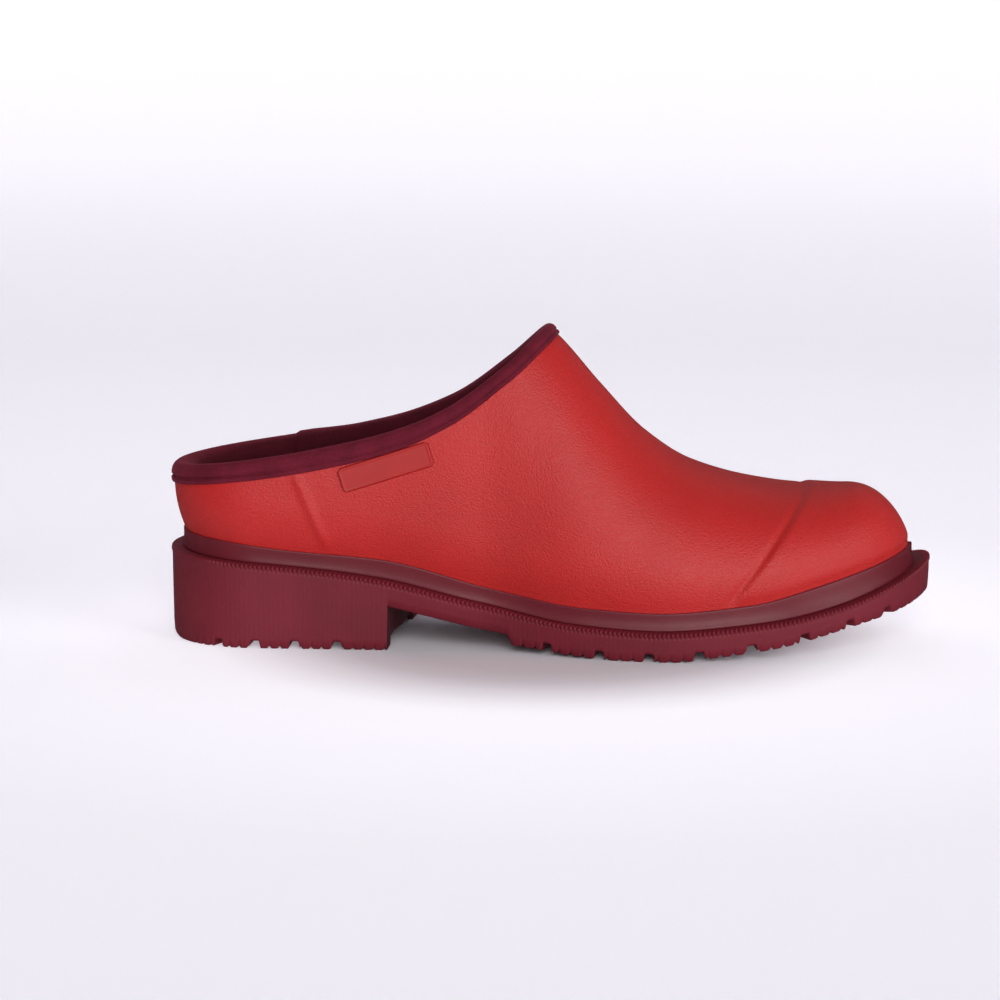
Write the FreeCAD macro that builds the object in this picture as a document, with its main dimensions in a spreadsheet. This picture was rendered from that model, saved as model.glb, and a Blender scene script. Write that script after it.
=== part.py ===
"""Rubber garden clog, right foot: a lasted rubber upper with a bound topline on a moulded lug sole.

Frame: +X from heel to toe, +Y to the inner (medial) side, +Z up, millimetres. The origin is on the
ground under the middle of the sole's box. The clog stands on its heel and on the ball of the sole.

Every curved layer follows one last surface. A station on it is an arch across the clog, from the
lower outer edge over the instep to the lower inner edge, and each layer lies at its own depth.
"""

import FreeCAD, Part
import math
import os

from FreeCAD import Vector

doc = FreeCAD.newDocument("garden_clog")

# ---------------------------------------------------------------- driving dimensions
sheet = doc.addObject("Spreadsheet::Sheet", "sizes")
DIMENSIONS = {
    # whole clog
    "sole_length": 280.0,
    "sole_side": 47.65,          # half of the sole's greatest width
    "heel_side": 34.6,           # half width of the heel block
    "waist_side": 32.6,          # half width of the waist
    "apex_x": -1.0,              # front end of the mouth, at the top of the instep
    # layers of the upper, from outside in
    "skin_thick": 1.8,
    "lining_thick": 3.4,
    "stiffener_thick": 0.8,
    "layer_gap": 0.1,
    "binding_thick": 1.4,
    "binding_width": 6.0,
    "label_thick": 0.8,
    "label_length": 34.5,
    "label_drop": 6.9,
    "margin_width": 13.0,        # lasting margin turned in under the insole board
    # sole unit
    "ledge_width": 3.9,
    "foxing_thick": 1.1,
    "wall_thick": 8.5,           # rubber wall round the midsole cavity
    "lug_depth": 3.0,
    "groove_width": 3.8,
    "groove_length": 11.0,
    "heel_front": -54.0,
    "heel_skew": 5.0,            # degrees
    "core_floor": 7.0,
    "core_top": 15.0,
    "pad_height": 60.0,
    # bottom pieces
    "board_thick": 1.8,
    "foam_thick": 4.4,
    "cover_thick": 0.9,
    "shank_length": 112.0,
    "shank_width": 15.0,
    "shank_thick": 1.6,
    "side_play": 0.5,            # room between the loose footbed and the lining
}
for row, (alias, value) in enumerate(DIMENSIONS.items(), start=1):
    sheet.set(f"A{row}", alias)
    sheet.set(f"B{row}", str(value))
    sheet.setAlias(f"B{row}", alias)
doc.recompute()


def size(alias):
    """A driving dimension, read back from the sheet."""
    return float(sheet.get(alias))


# ---------------------------------------------------------------- curves along the clog
def through(*points):
    """A smooth function of x that passes through the points and doesn't overshoot between them."""
    xs = [p[0] for p in points]
    ys = [p[1] for p in points]
    slopes = [(ys[i + 1] - ys[i]) / (xs[i + 1] - xs[i]) for i in range(len(xs) - 1)]
    tangents = [slopes[0]]
    for before, after in zip(slopes, slopes[1:]):
        same_way = before * after > 0
        tangents.append(2 * before * after / (before + after) if same_way else 0.0)
    tangents.append(slopes[-1])

    def value(x):
        if x <= xs[0]:
            return ys[0] + tangents[0] * (x - xs[0])
        if x >= xs[-1]:
            return ys[-1] + tangents[-1] * (x - xs[-1])
        i = max(k for k in range(len(xs) - 1) if xs[k] <= x)
        width = xs[i + 1] - xs[i]
        t = (x - xs[i]) / width
        return (
            (1 + 2 * t) * (1 - t) ** 2 * ys[i]
            + t * (1 - t) ** 2 * width * tangents[i]
            + t * t * (3 - 2 * t) * ys[i + 1]
            + t * t * (t - 1) * width * tangents[i + 1]
        )

    return value


HALF = size("sole_length") / 2
BALL = size("sole_side")
HEEL = size("heel_side")
WAIST = size("waist_side")

# plan of the sole: the line midway between its sides, and half its width
sole_mid = through((-140, 1.8), (-100, 1.5), (-60, 0.2), (-25, -1.9), (15, -2.3), (50, 0), (85, 1.7),
                   (140, 5.0))
sole_side = through((-140, HEEL), (-100, HEEL), (-60, HEEL - 1), (-25, WAIST), (15, 41.5), (52, BALL),
                    (85, BALL - 1.6), (115, 41.5), (140, 38))
# side view: top of the sole's rim, the line where the upper leaves the foxing, and the tread
ledge_z = through((-140, 33.2), (-90, 29.6), (-60, 25.8), (-25, 18.0), (10, 11.8), (40, 10.4), (75, 13.2),
                  (106, 18.6), (127, 25.5), (140, 31.3))
feather_z = through((-140, 39.6), (-118, 38.0), (-92, 35.0), (-59, 32.0), (-15, 21.4), (12, 17.4), (40, 16.3),
                    (74, 19.4), (96, 24.6), (118, 30.3), (134, 35.4))
front_tread_z = through((-30, 4.6), (-4, 2.4), (14, 0.7), (28, 0), (44, 0), (63, 2.0), (80, 4.4), (107, 10.4),
                        (129, 15.4), (140, 19.4))
waist_z = through((-60, 17.0), (-37, 11.6), (-20, 8.0), (-4, 6.0), (14, 4.2), (28, 3.2), (40, 3.0))
# the upper: its plan, its ridge, its mouth and the fullness of its arches
last_mid = through((-140, 1.8), (-100, 1.5), (-60, 0.2), (-25, -1.9), (15, -2.3), (50, 0), (85, 1.7),
                   (133, 4.6))
last_side = through((-138, HEEL - 2), (-100, HEEL - 1.4), (-60, HEEL - 3.2), (-25, WAIST - 1.6), (15, 38.9),
                    (52, BALL - 3.2), (85, BALL - 4.6), (115, 38), (133, 34.5))
ridge_z = through((-140, 88), (-92, 104), (-40, 120), (-16, 124.5), (2, 112.4), (18.6, 93.8), (35, 76.4),
                  (52, 65.3), (74, 58.8), (90, 56.6), (107, 56.0), (120, 57.2), (134, 57.6))
ridge_shift = through((-140, 0), (-40, 1.0), (20, 3.0), (70, 3.0), (120, 0.5), (134, 0))
fullness = through((-140, 2.6), (-90, 2.6), (-40, 2.3), (0, 2.1), (30, 2.1), (60, 2.25), (90, 2.4),
                   (134, 2.4))
tuck = through((-138, 3.8), (-90, 3.6), (-30, 3.2), (50, 2.6), (100, 2.0), (133, 0.4))
mouth_z = through((-142, 62.6), (-125, 64.6), (-92, 69.4), (-59, 76.6), (-37, 85.2), (-14.6, 101.0),
                  (-3, 111.6), (12, 125.6))

LAST_HEEL, LAST_TOE = -138.6, 132.8
TUCK_HEIGHT = 18.0          # the upper reaches its full width this far above the feather line
HEEL_LEAN = 7.5             # the most that the back of the heel leans in, above the mouth
TOE_DROP = 24.0             # length over which the ridge comes down at the toe
HEEL_ROUND, HEEL_POWER = 35.0, 2.15
TOE_ROUND, TOE_POWER = 61.0, 2.2


def rounding(distance, reach, power):
    """0 at an end of the plan, 1 from reach onwards, along a superellipse."""
    if distance >= reach:
        return 1.0
    return (1 - (1 - max(distance, 0.0) / reach) ** power) ** (1 / power)


def plan_point(share, side, heel_x, toe_x, middle, half_width):
    """A point of a plan outline: share runs from heel to toe, side is -1 outer or +1 inner."""
    x = heel_x + (toe_x - heel_x) * (1 - math.cos(math.pi * share)) / 2
    ends = rounding(x - heel_x, HEEL_ROUND, HEEL_POWER) * rounding(toe_x - x, TOE_ROUND, TOE_POWER)
    return Vector(x, middle(x) + side * half_width(x) * ends, 0)


def plan_normal(share, side, *plan):
    """The outward normal of a plan outline."""
    step = 0.004
    if share < step or share > 1 - step:
        return Vector(-1 if share < 0.5 else 1, 0, 0)
    along = plan_point(share + step, side, *plan) - plan_point(share - step, side, *plan)
    return Vector(-along.y * side, along.x * side, 0).normalize()


SOLE_PLAN = (-HALF, HALF, sole_mid, sole_side)
LAST_PLAN = (LAST_HEEL, LAST_TOE, last_mid, last_side)


def outline(inset, count=18):
    """The sole's plan, inset by that much: points in order, outer side to the toe and back."""
    points = []
    for step in range(2 * count):
        side = -1 if step <= count else 1
        share = step / count if step <= count else 2 - step / count
        points.append(plan_point(share, side, *SOLE_PLAN) - plan_normal(share, side, *SOLE_PLAN) * inset)
    return points


# ---------------------------------------------------------------- the last surface
def last_point(share, turn):
    """A point of the outer skin. turn runs from 0 at the outer lower edge over the ridge to 1."""
    side = -1 if turn <= 0.5 else 1
    flat = plan_point(share, side, *LAST_PLAN)
    x = flat.x
    low = ledge_z(x) + 0.2
    high = low + (ridge_z(x) - low) * rounding(LAST_TOE - x, TOE_DROP, 2)
    power = fullness(x)
    angle = math.pi * (turn if side < 0 else 1 - turn)
    up = math.sin(angle) ** (2 / power)
    out = max(math.cos(angle), 0.0) ** (2 / power)
    z = low + (high - low) * up
    y = last_mid(x) + (flat.y - last_mid(x)) * out + ridge_shift(x) * up * up * rounding(x - LAST_HEEL, 30, 2)
    above = min(max((z - feather_z(x)) / TUCK_HEIGHT, 0.0), 1.0)
    lean_from = max(z - feather_z(x) - TUCK_HEIGHT, 0.0) / 12
    leaning = lean_from ** 2 / (1 + lean_from ** 2)
    heel_share = max(1 - (x - LAST_HEEL) / 40, 0.0)
    inward = tuck(x) * (1 - above) ** 2 * out + HEEL_LEAN * leaning * heel_share ** 2
    return Vector(x, y, z) - plan_normal(share, side, *LAST_PLAN) * inward


def last_layer(share, turn, offset):
    """The same point moved out of the skin by offset, or into it where offset is negative."""
    if share > 0.999:
        return last_point(1, 0) + Vector(offset, 0, 0)
    step = 0.004
    half_start, half_end = (0, 0.5) if turn <= 0.5 else (0.5001, 1)
    if share < 0.001:
        over = last_point(0, min(turn + step, half_end)) - last_point(0, max(turn - step, half_start))
        normal = Vector(-abs(over.z), 0, over.x * (1 if over.z > 0 else -1)).normalize()
        return last_point(0, turn) + normal * offset
    along = last_point(min(share + step, 1), turn) - last_point(max(share - step, 0), turn)
    over = last_point(share, min(turn + step, 1)) - last_point(share, max(turn - step, 0))
    return last_point(share, turn) + over.cross(along).normalize() * -offset


STATIONS, ARCH_POINTS = 34, 21


def knots(poles):
    """The knot values of a clamped cubic with that many poles."""
    return [float(k) for k in range(poles - 2)]


def clamped(poles):
    """Their multiplicities."""
    return [4] + [1] * (poles - 4) + [4]


def layer_solid(offset):
    """The closed solid inside the last surface moved by offset."""
    rows = []
    for i in range(STATIONS):
        share = i / (STATIONS - 1)
        rows.append([last_layer(share, k / (ARCH_POINTS - 1), offset) for k in range(ARCH_POINTS)])
    surface = Part.BSplineSurface()
    surface.buildFromPolesMultsKnots(rows, clamped(STATIONS), clamped(ARCH_POINTS), knots(STATIONS),
                                     knots(ARCH_POINTS), False, False, 3, 3)
    ends, top = STATIONS - 3.0, (ARCH_POINTS - 3.0) / 2
    outer, inner = surface.copy(), surface.copy()
    outer.segment(0, ends, 0, top)
    inner.segment(0, ends, top, 2 * top)

    def ruled(line_a, line_b):
        return Part.makeRuledSurface(line_a.toShape(), line_b.toShape())

    faces = [outer.toShape(), inner.toShape(), ruled(outer.vIso(0), inner.vIso(2 * top))]
    shell = Part.makeShell(faces)
    shell.sewShape(0.02)
    solid = Part.makeSolid(shell.Shells[0] if shell.ShapeType == "Compound" else shell)
    if solid.Volume < 0:
        solid.reverse()
    return solid


layer_cache = {}


def layer(offset):
    """A copy of that solid, built once for each offset."""
    key = round(offset, 3)
    if key not in layer_cache:
        layer_cache[key] = layer_solid(offset)
    return layer_cache[key].copy()


# ---------------------------------------------------------------- cutters seen from the side
WIDE = 90.0                 # half the depth of a cutter, across the whole clog
REACH = 165.0               # how far a cutter reaches past the heel and the toe
SKY, CELLAR = 160.0, -30.0  # top and bottom of the cutters


def spaced(first, last, count):
    return [first + (last - first) * k / (count - 1) for k in range(count)]


def curve(points):
    line = Part.BSplineCurve()
    line.interpolate(points)
    return line.toShape()


def side_prism(points, *corners, y_from=-WIDE, y_to=WIDE):
    """The solid across the clog behind a side view: a smooth line through points, closed over corners."""
    start, end = points[0], points[-1]
    flat = [Vector(p.x, y_from, p.z) for p in points]
    path = [Vector(end.x, y_from, end.z)] + [Vector(x, y_from, z) for x, z in corners]
    path.append(Vector(start.x, y_from, start.z))
    wire = Part.Wire([curve(flat), *Part.makePolygon(path).Edges])
    return Part.Face(wire).extrude(Vector(0, y_to - y_from, 0))


def over(height, raised=0.0):
    """Everything above the line z = height(x) + raised."""
    points = [Vector(x, 0, height(x) + raised) for x in spaced(-REACH, REACH, 40)]
    return side_prism(points, (REACH, SKY), (-REACH, SKY))


def mouth_line(shift):
    """The mouth's edge in side view, moved out along its own normal by shift."""
    points = []
    for x in spaced(-142, 8, 22):
        slope = mouth_z(x + 0.5) - mouth_z(x - 0.5)
        normal = Vector(-slope, 0, 1).normalize()
        points.append(Vector(x, 0, mouth_z(x)) + normal * shift)
    return points


def under_mouth(shift=0.0):
    """Everything below the mouth's edge, and all of the clog ahead of it."""
    points = mouth_line(shift)
    first, last = points[0], points[-1]
    return side_prism(points, (last.x + 6, last.z + 6), (REACH, SKY), (REACH, CELLAR), (-REACH, CELLAR),
                      (-REACH, first.z))


def slice_of(face_points, top=SKY, bottom=CELLAR):
    """A solid with vertical walls on a closed plan."""
    loop = Part.BSplineCurve()
    loop.interpolate([Vector(p.x, p.y, bottom) for p in face_points], PeriodicFlag=True)
    return Part.Face(Part.Wire(loop.toShape())).extrude(Vector(0, 0, top - bottom))


# ---------------------------------------------------------------- the upper's layers
GAP = size("layer_gap")
SKIN = size("skin_thick")
STIFF = size("stiffener_thick")
LINING = size("lining_thick")
BIND = size("binding_thick")
INSIDE = SKIN + GAP + LINING            # depth of the lining's inner face
MARGIN_SKIN, MARGIN_LINING = 1.5, 1.3   # thickness of the two turned-in margins


def base_z(x):
    """The plane of the lasting margin: the upper's underside, just above the rim."""
    return ledge_z(x) + 0.2


def shelf(shape, floor, ceiling):
    """What lies of a shape between two heights above the lasting margin's plane."""
    return shape.common(over(base_z, floor)).cut(over(base_z, ceiling))


def ahead_of(x_top, z_top, x_low, z_low, moved=0.0):
    """Everything to the toe of a slanting line."""
    rise = (x_top - x_low) / (z_top - z_low)
    line = [Vector(x_low + rise * (z - z_low) + moved, 0, z) for z in (CELLAR, SKY)]
    corners = [Vector(line[0].x, -WIDE, CELLAR), Vector(line[1].x, -WIDE, SKY), Vector(REACH, -WIDE, SKY),
               Vector(REACH, -WIDE, CELLAR), Vector(line[0].x, -WIDE, CELLAR)]
    return Part.Face(Part.makePolygon(corners)).extrude(Vector(0, 2 * WIDE, 0))


def ply(outer, inner, *keep):
    """The layer from one depth to another inside every solid in keep."""
    shape = layer(-outer)
    for region in keep:
        shape = shape.common(region)
    return shape.cut(layer(-inner))


def feature(label, shape):
    """A free-form sub-part: a finished solid under its own label."""
    item = doc.addObject("Part::Feature", label)
    item.Label = label
    item.Shape = shape
    item.Placement = FreeCAD.Placement()
    return item


MARGIN_REACH = 3.0          # how far past the margin's own width the window starts
WINDOW_TOP = 6.0            # the window ends below the vamp
WINDOW_INSET = size("ledge_width") + size("margin_width") + MARGIN_REACH
window = slice_of(outline(WINDOW_INSET)).cut(over(base_z, WINDOW_TOP))
below_edge = under_mouth()

# the outer skin turns in under the last and leaves a window over the waist and the ball
skin_room = layer(-SKIN).common(over(base_z, MARGIN_SKIN))
skin = layer(0).common(below_edge).cut(skin_room).cut(window)
feature("upper_shell", skin)

# stiffeners between skin and lining, each ending on a slanting edge
PUFF_LINE = (95.0, 57.0, 73.0, 19.0)
COUNTER_LINE = (-95.0, 64.0, -84.0, 36.0)
COUNTER_TOP = -(size("binding_width") + 1.5)
STIFF_FOOT = 4.0


def puff_region(grow=0.0):
    return ahead_of(*PUFF_LINE, moved=-grow).common(over(base_z, STIFF_FOOT - grow))


def counter_region(grow=0.0):
    low = over(base_z, STIFF_FOOT - grow).cut(ahead_of(*COUNTER_LINE, moved=grow))
    return low.common(under_mouth(COUNTER_TOP + grow))


feature("toe_puff", ply(SKIN + GAP, SKIN + GAP + STIFF, puff_region()))
feature("heel_counter", ply(SKIN + GAP, SKIN + GAP + STIFF, counter_region()))

lining_floor = MARGIN_SKIN + GAP
lining_room = layer(-INSIDE).common(over(base_z, lining_floor + MARGIN_LINING))
lining = layer(-SKIN - GAP).common(below_edge).common(over(base_z, lining_floor)).cut(lining_room).cut(window)
for pocket in (puff_region(GAP), counter_region(GAP)):
    lining = lining.cut(ply(SKIN, SKIN + 2 * GAP + STIFF, pocket))
feature("lining", lining)

# binding folded over the mouth's edge
fold = layer(BIND + GAP).common(under_mouth(BIND + GAP)).cut(under_mouth(-size("binding_width")))
fold = fold.cut(layer(-INSIDE - GAP - BIND))
edge = layer(GAP).common(under_mouth(GAP)).cut(layer(-INSIDE - GAP))
feature("topline_binding", fold.cut(edge))

# raised label on the outer side, under the binding, in line with the mouth
LABEL_FRONT, LABEL_HEIGHT, LABEL_CORNER = -40.0, 8.6, 2.2
label_back = LABEL_FRONT - size("label_length")
middle = Vector((label_back + LABEL_FRONT) / 2, 0, 0)
middle.z = mouth_z(middle.x) - size("label_drop") - LABEL_HEIGHT / 2
slope = math.degrees(math.atan2(mouth_z(LABEL_FRONT) - mouth_z(label_back), size("label_length")))
LABEL_REACH = 60.0          # the cutter for the label reaches this far to the outer side
label_corner = Vector(-size("label_length") / 2, -LABEL_REACH, -LABEL_HEIGHT / 2)
plate = Part.makeBox(size("label_length"), LABEL_REACH, LABEL_HEIGHT, label_corner)
plate = plate.makeFillet(LABEL_CORNER, [e for e in plate.Edges if abs(e.tangentAt(e.FirstParameter).y) > 0.9])
plate.rotate(Vector(), Vector(0, -1, 0), slope)
plate.translate(middle)
feature("side_label", layer(size("label_thick") + GAP).common(plate).cut(layer(GAP)))

# foxing strip: the smooth band between the rim and the feather line. The wall is upright there, so the
# room it leaves for the upper can start lower down, clear of the band's own underside
FOXING_ROOM_DROP = 0.8
foxing_room = layer(GAP)
foxing_room.translate(Vector(0, 0, -FOXING_ROOM_DROP))
foxing = layer(size("foxing_thick") + GAP).common(over(base_z, 0.05)).cut(over(feather_z)).cut(foxing_room)
feature("foxing_strip", foxing)

# bottom pieces that end against the lining
BOARD_FOOT = lining_floor + MARGIN_LINING + GAP
board_top = BOARD_FOOT + size("board_thick")
feature("insole_board", shelf(layer(-INSIDE - GAP), BOARD_FOOT, board_top))
FOOTBED_PLAY = 0.3          # the loose footbed lies this far above the board
FOAM_FOOT = board_top + FOOTBED_PLAY
foam_top = FOAM_FOOT + size("foam_thick")
loose = layer(-INSIDE - size("side_play"))
feature("footbed_foam", shelf(loose, FOAM_FOOT, foam_top))
feature("footbed_cover", shelf(loose, foam_top + GAP, foam_top + GAP + size("cover_thick")))


# ---------------------------------------------------------------- bodies drawn in plan and side view
def plane_of(body, name):
    return next(item for item in body.Origin.OriginFeatures if item.Name.startswith(name))


def sketch_on(body, plane, *geometry):
    """A sketch attached to one of the body's own origin planes."""
    sketch = body.newObject("Sketcher::SketchObject", f"{body.Name}_{plane.lower()}")
    sketch.AttachmentSupport = [(plane_of(body, plane), "")]
    sketch.MapMode = "FlatFace"
    for line in geometry:
        sketch.addGeometry(line, False)
    return sketch


def smooth(points, closed=False):
    line = Part.BSplineCurve()
    line.interpolate(points, PeriodicFlag=closed)
    return line


def plan_body(label, *geometry):
    """A body that starts as a tall pad of its plan."""
    body = doc.addObject("PartDesign::Body", label)
    body.Label = label
    pad = body.newObject("PartDesign::Pad", label + "_pad")
    pad.Profile = sketch_on(body, "XY_Plane", *geometry)
    pad.setExpression("Length", "sizes.pad_height")
    body.Tip = pad
    return body


def trim(body, height, *corners, first=-REACH, last=REACH, count=40):
    """Pockets away one side of the side-view line z = height(x); corners close the sketch."""
    points = [Vector(x, height(x), 0) for x in spaced(first, last, count)]
    path = [points[-1]] + [Vector(x, z, 0) for x, z in corners] + [points[0]]
    sides = [Part.LineSegment(a, b) for a, b in zip(path, path[1:])]
    pocket = body.newObject("PartDesign::Pocket", f"{body.Name}_trim")
    pocket.Profile = sketch_on(body, "XZ_Plane", smooth(points), *sides)
    pocket.Type = "Length"
    pocket.Length = 4 * WIDE
    pocket.SideType = "Symmetric"
    body.Tip = pocket


def trim_top(body, height):
    trim(body, height, (REACH, SKY), (-REACH, SKY))


def trim_bottom(body, height):
    trim(body, height, (REACH, CELLAR), (-REACH, CELLAR))


def plan_loop(inset, count=18):
    return smooth(outline(inset, count), closed=True)


def bar(x_back, x_front, y_low, y_high, corner=4.0):
    """A rectangle with cut corners, as sketch lines."""
    corners = [(x_back + corner, y_low), (x_front - corner, y_low), (x_front, y_low + corner),
               (x_front, y_high - corner), (x_front - corner, y_high), (x_back + corner, y_high),
               (x_back, y_high - corner), (x_back, y_low + corner)]
    points = [Vector(x, y, 0) for x, y in corners]
    return [Part.LineSegment(a, b) for a, b in zip(points, points[1:] + points[:1])]


def lifted(height, by):
    return lambda x: height(x) + by


# sole unit: a rubber tray with a heel block, filled with a foam midsole and a hard heel core
HEEL_FRONT = size("heel_front")
WALL = size("wall_thick")
cavity_z = through((-140, 15.1), (-62, 15.1), (-50, 17.6), (-37, 15.2), (-20, 11.6), (-4, 9.4), (14, 7.6),
                   (28, 6.4), (44, 6.0), (63, 7.2), (84, 10.0), (107, 15.0), (129, 20.6), (140, 24))

block = plan_body("sole_block", plan_loop(0))
trim_top(block, ledge_z)
breast = [(HEEL_FRONT, CELLAR), (HEEL_FRONT, 0)]
trim(block, waist_z, (-16, CELLAR), *breast, first=HEEL_FRONT - 1.5, last=-16, count=8)
trim(block, front_tread_z, (REACH, CELLAR), (-22, CELLAR), (-16, waist_z(-16)), first=-13, last=REACH, count=20)
cavity = plan_body("sole_cavity", plan_loop(WALL))
trim_bottom(cavity, cavity_z)
CORE = (-122, -68, -17, 20)     # back, front, outer and inner side of the heel core's pocket
core_pocket = plan_body("core_pocket", *bar(*CORE))
core_pocket_floor = size("core_floor") - GAP
trim_bottom(core_pocket, lambda x: core_pocket_floor)

midsole = plan_body("midsole", plan_loop(WALL + GAP))
trim_bottom(midsole, lifted(cavity_z, GAP))
trim_top(midsole, ledge_z)
core = plan_body("heel_core", *bar(CORE[0] + GAP, CORE[1] - GAP, CORE[2] + GAP, CORE[3] - GAP))
trim_bottom(core, lambda x: size("core_floor"))
trim_top(core, lambda x: size("core_top"))

shank_front = 16.0
SHANK_FOOT = 0.2            # above the midsole's top
shank_back = shank_front - size("shank_length")
shank_side = size("shank_width") / 2
shank = plan_body("shank", *bar(shank_back, shank_front, -shank_side, shank_side))
trim_bottom(shank, lifted(base_z, SHANK_FOOT))
trim_top(shank, lifted(base_z, SHANK_FOOT + size("shank_thick")))

FILLER_PLAY = 0.3
filler = plan_body("bottom_filler", plan_loop(WINDOW_INSET + FILLER_PLAY))
trim_bottom(filler, lifted(base_z, GAP))
trim_top(filler, lifted(base_z, lining_floor + MARGIN_LINING - GAP))
filler_back = shank_front + 6   # the filler starts just ahead of the shank
trim(filler, lambda x: 30.0, (filler_back, SKY), (-REACH, SKY), (-REACH, CELLAR), (filler_back, CELLAR),
     first=filler_back - 1, last=filler_back, count=2)
doc.recompute()

# notches cut into the edge of the tread, from both sides
HEEL_NOTCHES = [-119.0 + 14.6 * k for k in range(4)]
FRONT_NOTCHES = [1.0 + 17.6 * k for k in range(8)]


def side_of_sole(x, side):
    ends = rounding(x + HALF, HEEL_ROUND, HEEL_POWER) * rounding(HALF - x, TOE_ROUND, TOE_POWER)
    return sole_mid(x) + side * sole_side(x) * ends


notches = []
for x in HEEL_NOTCHES + FRONT_NOTCHES:
    for side in (-1, 1):
        edge_y = side_of_sole(x, side)
        notch = doc.addObject("Part::Box", "notch")
        notch.setExpression("Length", "sizes.groove_width")
        notch.setExpression("Width", "sizes.groove_length + 5")
        notch.setExpression("Height", "sizes.lug_depth + 4")
        y_low = edge_y - size("groove_length") if side > 0 else edge_y - 5
        tread = 0.0 if x < HEEL_FRONT else front_tread_z(x)
        notch.Placement.Base = Vector(x - size("groove_width") / 2, y_low, tread - 4)
        notches.append(notch)

hollow = doc.addObject("Part::MultiFuse", "hollow")
hollow.Shapes = [cavity, core_pocket] + notches
outsole = doc.addObject("Part::Cut", "outsole")
outsole.Base = block
outsole.Tool = hollow
outsole.Label = "outsole"

# ---------------------------------------------------------------- check and write
NODES = [
    "upper_shell", "toe_puff", "heel_counter", "lining", "topline_binding", "side_label", "foxing_strip",
    "outsole", "midsole", "heel_core", "shank", "bottom_filler", "insole_board", "footbed_foam", "footbed_cover",
]
doc.recompute()
for item in doc.Objects:
    if "Invalid" in item.State or "Error" in item.State:
        raise RuntimeError(f"{item.Label} did not build: {item.State}")
os.makedirs("parts", exist_ok=True)
for node in NODES:
    item = doc.getObjectsByLabel(node)[0]
    shape = item.Shape
    if shape.isNull() or not shape.isValid() or len(shape.Solids) != 1:
        raise RuntimeError(f"{node} is not one valid solid")
    shape.exportStep(f"parts/{node}.step")
    print(node, round(shape.Volume))
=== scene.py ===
"""Looks of a rubber garden clog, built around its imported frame.

Frame: +X from heel to toe, +Y to the inner (medial) side, +Z up. Formulas work in millimetres and the
finished meshes are in metres. Every layer of the upper follows one last surface, as a clog's does.
"""

import math
from functools import lru_cache

import bmesh
import bpy
from bpy.props import FloatProperty, FloatVectorProperty, PointerProperty
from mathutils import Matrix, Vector, noise


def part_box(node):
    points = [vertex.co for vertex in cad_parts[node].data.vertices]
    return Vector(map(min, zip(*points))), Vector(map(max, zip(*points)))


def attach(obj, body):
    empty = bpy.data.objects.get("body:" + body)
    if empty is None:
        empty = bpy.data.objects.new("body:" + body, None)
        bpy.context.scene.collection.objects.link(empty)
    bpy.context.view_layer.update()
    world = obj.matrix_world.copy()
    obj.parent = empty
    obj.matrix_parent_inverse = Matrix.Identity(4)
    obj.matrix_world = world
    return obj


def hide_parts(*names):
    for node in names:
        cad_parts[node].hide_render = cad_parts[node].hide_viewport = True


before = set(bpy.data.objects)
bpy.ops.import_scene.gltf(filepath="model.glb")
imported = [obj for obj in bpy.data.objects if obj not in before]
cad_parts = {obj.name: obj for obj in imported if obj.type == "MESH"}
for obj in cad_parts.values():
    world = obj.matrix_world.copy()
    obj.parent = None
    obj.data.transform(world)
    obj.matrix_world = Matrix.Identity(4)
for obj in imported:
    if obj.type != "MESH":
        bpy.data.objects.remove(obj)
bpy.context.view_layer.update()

bl_info = {
    "name": "Rubber garden clog",
    "version": (1, 0, 0),
    "blender": (4, 5, 0),
    "location": "3D View > Sidebar > Clog",
    "description": "Builds a lasted rubber garden clog with a bound mouth and a notched lug sole",
    "category": "Add Mesh",
}

MM = 0.001


def linear(hex_colour):
    """An sRGB hex colour as linear red, green and blue."""
    channels = [int(hex_colour[i:i + 2], 16) / 255 for i in (1, 3, 5)]
    return [c / 12.92 if c <= 0.04045 else ((c + 0.055) / 1.055) ** 2.4 for c in channels]


# ---------------------------------------------------------------- sizes and colours a user would change
def length(name, description, default):
    return FloatProperty(
        name=name, description=description, default=default * MM, subtype="DISTANCE", unit="LENGTH",
    )


def colour(name, description, default):
    return FloatVectorProperty(
        name=name, description=description, default=linear(default), size=3, subtype="COLOR", min=0, max=1,
    )


class ClogSizes(bpy.types.PropertyGroup):
    """Sizes of the visible pieces."""

    skin: length("Skin thickness", "Thickness of the rubber skin", 1.6)
    toe_step: length("Toe step", "How far the toe stands proud ahead of the puff's edge", 0.8)
    counter_ridge: length("Counter ridge", "Height of the ridge over the heel counter's edge", 1.0)
    tooth_pitch: length("Tooth pitch", "Spacing of the milled teeth round the rim", 1.6)
    tooth_depth: length("Tooth depth", "Depth of the milled teeth", 0.8)
    notch_depth: length("Notch depth", "Depth of the notches in the tread's edge", 2.8)
    footbed_crown: length("Footbed crown", "How far the loose footbed swells in its middle", 0.9)


class ClogColours(bpy.types.PropertyGroup):
    """Colours of the finishes."""

    upper: colour("Upper", "Red natural rubber", "#B81C1A")
    binding: colour("Binding", "Burgundy knit tape", "#66192A")
    lining: colour("Lining", "Dark red knit", "#3E0C13")
    foxing: colour("Foxing", "Smooth deep red rubber", "#681A26")
    sole: colour("Sole", "Burgundy sole rubber", "#701A28")


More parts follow.
